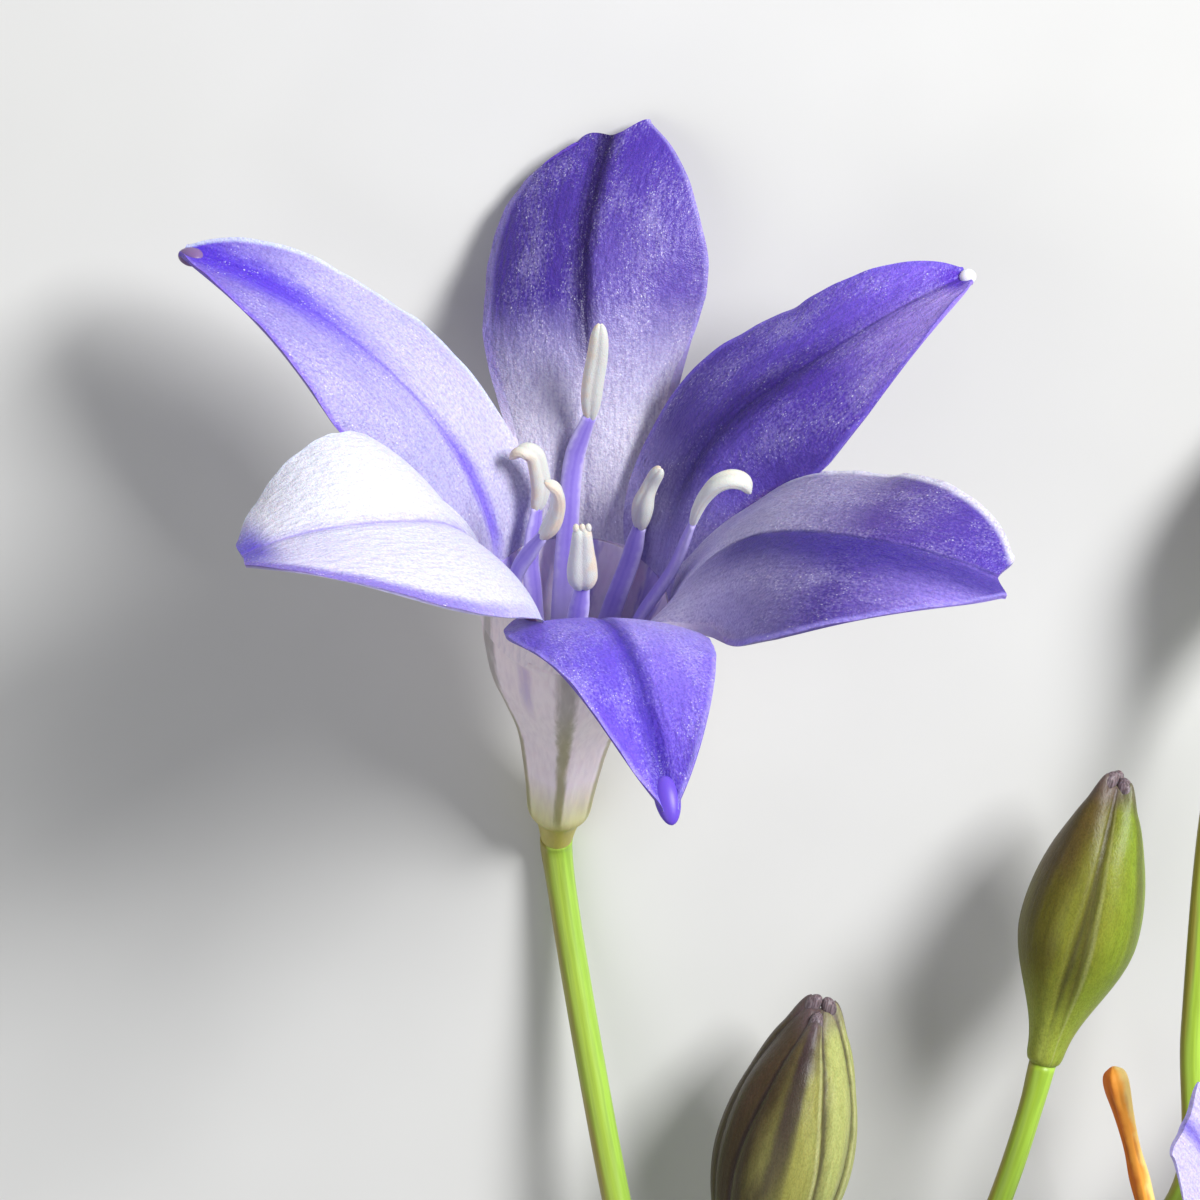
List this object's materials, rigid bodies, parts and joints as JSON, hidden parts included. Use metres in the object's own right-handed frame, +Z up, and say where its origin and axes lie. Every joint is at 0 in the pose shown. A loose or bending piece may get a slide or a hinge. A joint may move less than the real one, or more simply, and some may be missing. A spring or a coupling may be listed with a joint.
{
  "type": "triteleia flower stem",
  "caption": "Picked umbel of a violet-blue triteleia lying down: open funnel flowers with stamens, closed buds and a withered bud on thin stalks above a cut scape",
  "frame": {"origin": "On the surface the stem lies on, under the middle of its bounding box.", "axes": "+Z up from the surface; +Y along the stem from its cut end to the open flower, the longest way; +X across, towards the second flower. Lengths are in metres in the row."},
  "size_m": [0.0754, 0.149, 0.0361],
  "materials": {
    "flower_tube": "satin",
    "petal_violet": "satin, glittery",
    "petal_pale": "satin, glittery",
    "filament": "satin",
    "anther": "matte",
    "pistil": "satin",
    "bud_brown": "satin",
    "bud_green": "satin",
    "withered_bud": "matte",
    "stalk": "satin",
    "stalk_withered": "matte",
    "scape": "satin",
    "bract": "matte"
  },
  "bodies": {
    "root": {"flower_1_tube": "flower_tube", "flower_1_petal_back": "petal_violet", "flower_1_petal_right_upper": "petal_violet", "flower_1_petal_right_lower": "petal_violet", "flower_1_petal_front": "petal_violet", "flower_1_petal_left_lower": "petal_pale", "flower_1_petal_left_upper": "petal_pale", "flower_1_filament_back": "filament", "flower_1_filament_right_upper": "filament", "flower_1_filament_right_lower": "filament", "flower_1_filament_front": "filament", "flower_1_filament_left_lower": "filament", "flower_1_filament_left_upper": "filament", "flower_1_anther_back": "anther", "flower_1_anther_right_upper": "anther", "flower_1_anther_right_lower": "anther", "flower_1_anther_front": "anther", "flower_1_anther_left_lower": "anther", "flower_1_anther_left_upper": "anther", "flower_1_pistil": "pistil", "flower_2_tube": "flower_tube", "flower_2_petal_back": "petal_violet", "flower_2_petal_right_upper": "petal_violet", "flower_2_petal_right_lower": "petal_violet", "flower_2_petal_front": "petal_violet", "flower_2_petal_left_lower": "petal_pale", "flower_2_petal_left_upper": "petal_pale", "flower_2_filament_back": "filament", "flower_2_filament_right_upper": "filament", "flower_2_filament_right_lower": "filament", "flower_2_filament_front": "filament", "flower_2_filament_left_lower": "filament", "flower_2_filament_left_upper": "filament", "flower_2_anther_back": "anther", "flower_2_anther_right_upper": "anther", "flower_2_anther_right_lower": "anther", "flower_2_anther_front": "anther", "flower_2_anther_left_lower": "anther", "flower_2_anther_left_upper": "anther", "flower_2_pistil": "pistil", "bud_front": "bud_brown", "bud_right": "bud_green", "bud_far": "bud_green", "withered_bud": "withered_bud", "stalk_flower_1": "stalk", "stalk_flower_2": "stalk", "stalk_bud_front": "stalk", "stalk_bud_right": "stalk", "stalk_bud_far": "stalk", "stalk_withered_bud": "stalk_withered", "scape": "scape", "bract_1": "bract", "bract_2": "bract", "bract_3": "bract"}
  },
  "joints": []
}
